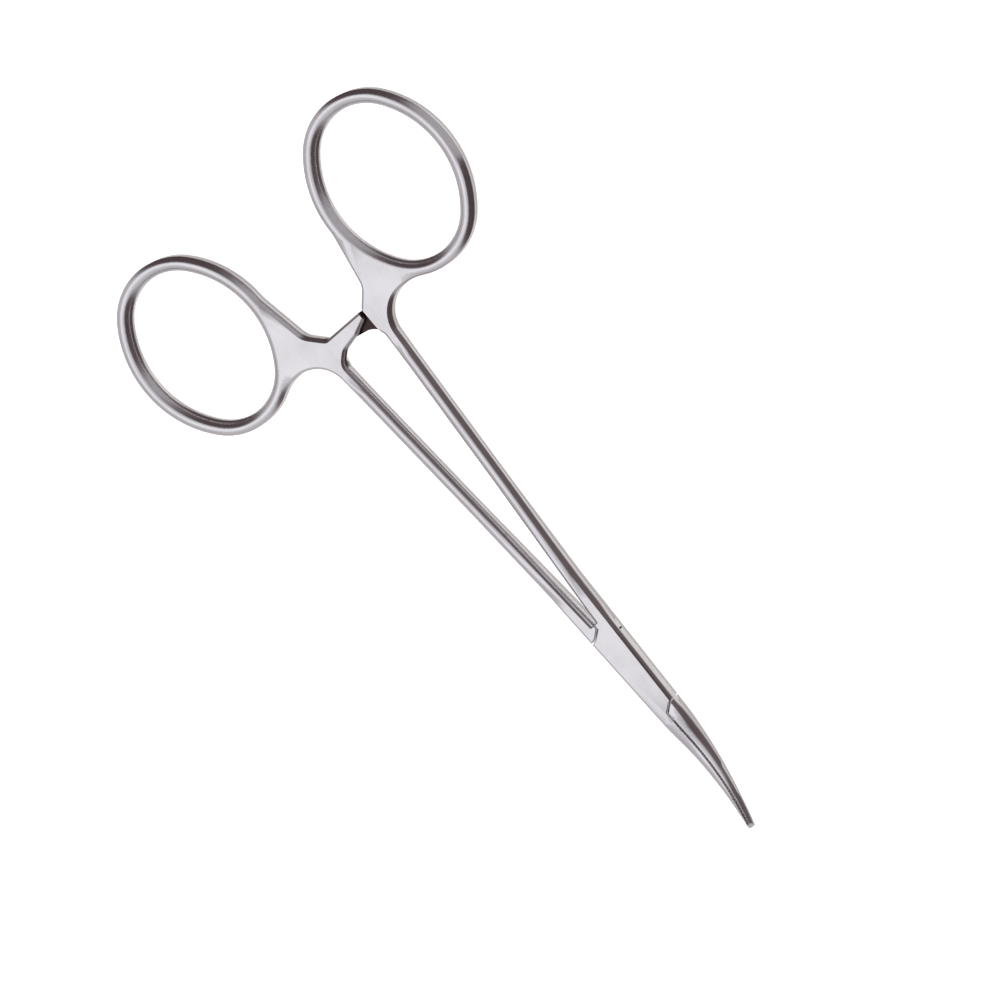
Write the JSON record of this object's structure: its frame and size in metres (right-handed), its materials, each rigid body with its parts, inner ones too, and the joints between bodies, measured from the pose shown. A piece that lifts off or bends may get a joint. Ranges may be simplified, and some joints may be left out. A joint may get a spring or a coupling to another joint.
{
  "type": "hemostat forceps",
  "caption": "Slim steel clamping forceps with curved serrated jaws, a box lock and a ratchet between two finger rings, for gripping and holding small vessels.",
  "frame": {"origin": "on the hinge axis, at the underside of the box lock", "axes": "+X towards the jaw tips, +Y towards the finger ring of the box half, +Z the way the jaws curve, along the hinge axis"},
  "size_m": [0.1239, 0.0638, 0.0082],
  "materials": {
    "box_half_steel": "polished",
    "tongue_half_steel": "polished",
    "rivet_pin_steel": "polished"
  },
  "bodies": {
    "box_half": {"box_half": "box_half_steel", "rivet_pin": "rivet_pin_steel"},
    "tongue_half": {"tongue_half": "tongue_half_steel"}
  },
  "joints": [
    {"name": "box_lock_pivot", "type": "hinge", "parent": "box_half", "child": "tongue_half", "pos_m": [0, 0, 0], "axis": [0, 0, 1], "range_deg": [0, 60]}
  ]
}
